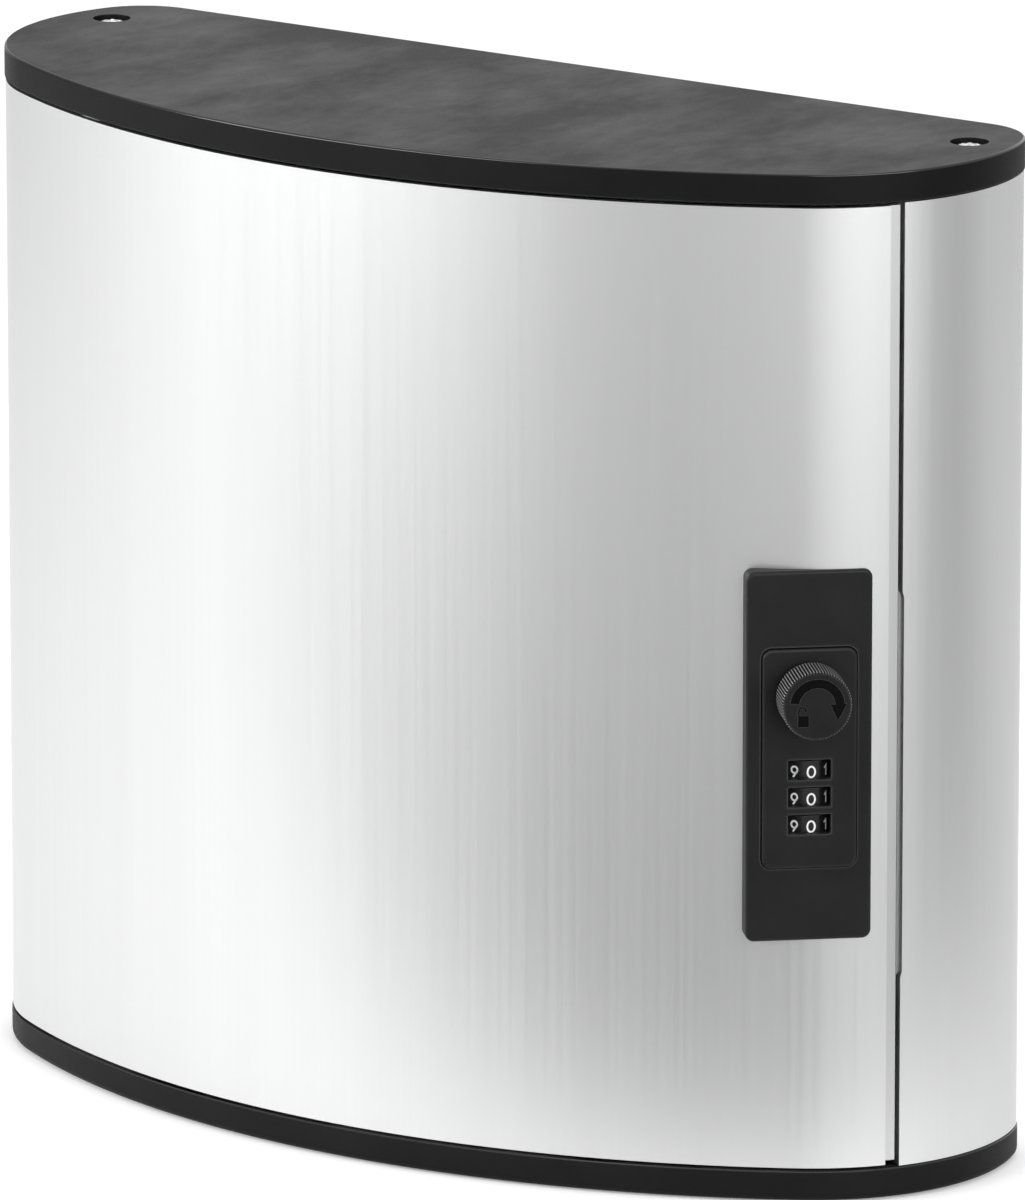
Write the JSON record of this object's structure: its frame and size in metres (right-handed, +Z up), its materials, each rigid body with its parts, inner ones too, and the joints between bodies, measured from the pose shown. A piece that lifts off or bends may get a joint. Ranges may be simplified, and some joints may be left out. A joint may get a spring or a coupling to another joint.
{
  "type": "key cabinet",
  "caption": "Wall key cabinet in satin aluminium with a curved hinged door, dark plastic end caps, hook rails and a combination lock with a turning knob.",
  "frame": {"origin": "centre of the cabinet's box at the level of its underside", "axes": "+Z up, +Y to the wall behind the cabinet, +X to the right as seen from the front"},
  "size_m": [0.312, 0.118, 0.28],
  "materials": {
    "anodised": "satin anodised extrusion",
    "cap_plastic": "fine spark-eroded grain",
    "lock_plastic": "black moulded, satin",
    "wheel_plastic": "black with white figures",
    "bright_screw": "bright plated",
    "steel": "zinc plated",
    "nylon": "natural",
    "rail_plastic": "light grey moulded",
    "rubber": "black"
  },
  "bodies": {
    "cabinet_body": {"back_shell": "anodised", "top_cap": "cap_plastic", "bottom_cap": "cap_plastic", "cap_screw_top_left": "bright_screw", "cap_screw_top_right": "bright_screw", "cap_screw_bottom_left": "bright_screw", "cap_screw_bottom_right": "bright_screw", "hinge_pin_top": "steel", "hinge_pin_bottom": "steel", "hook_rail_1": "rail_plastic", "hook_rail_2": "rail_plastic", "hook_rail_3": "rail_plastic", "rail_screw_1_left": "steel", "rail_screw_1_right": "steel", "rail_screw_2_left": "steel", "rail_screw_2_right": "steel", "rail_screw_3_left": "steel", "rail_screw_3_right": "steel", "door_buffer_upper": "rubber", "door_buffer_lower": "rubber"},
    "door": {"door_panel": "anodised", "hinge_bush_top": "nylon", "hinge_bush_bottom": "nylon", "lock_escutcheon": "lock_plastic", "lock_case": "lock_plastic", "lock_back_plate": "steel", "lock_screw_upper": "steel", "lock_screw_lower": "steel", "wheel_shaft": "steel", "detent_spring": "steel"},
    "knob": {"knob": "lock_plastic", "knob_spindle": "steel", "latch_cam": "steel", "cam_nut": "steel"},
    "wheel_1": {"number_wheel_1": "wheel_plastic"},
    "wheel_2": {"number_wheel_2": "wheel_plastic"},
    "wheel_3": {"number_wheel_3": "wheel_plastic"},
    "code_lever": {"code_set_lever": "lock_plastic"}
  },
  "joints": [
    {"name": "door_swing", "type": "hinge", "parent": "cabinet_body", "child": "door", "pos_m": [-0.1502, 0.02532, 0.14], "axis": [0, 0, -1], "range_deg": [0, 105]},
    {"name": "knob_turn", "type": "hinge", "parent": "door", "child": "knob", "pos_m": [0.13065, -0.02263, 0.1401], "axis": [0.6826, -0.7308, 0], "range_deg": [0, 90]},
    {"name": "wheel_1_spin", "type": "hinge", "parent": "door", "child": "wheel_1", "pos_m": [0.12574, -0.01737, 0.11965], "axis": [0, 0, 1], "continuous": true},
    {"name": "wheel_2_spin", "type": "hinge", "parent": "door", "child": "wheel_2", "pos_m": [0.12574, -0.01737, 0.1122], "axis": [0, 0, 1], "continuous": true},
    {"name": "wheel_3_spin", "type": "hinge", "parent": "door", "child": "wheel_3", "pos_m": [0.12574, -0.01737, 0.10475], "axis": [0, 0, 1], "continuous": true},
    {"name": "code_lever_slide", "type": "slide", "parent": "door", "child": "code_lever", "axis": [0.7308, 0.6826, 0], "range_m": [0, 0.004]}
  ]
}
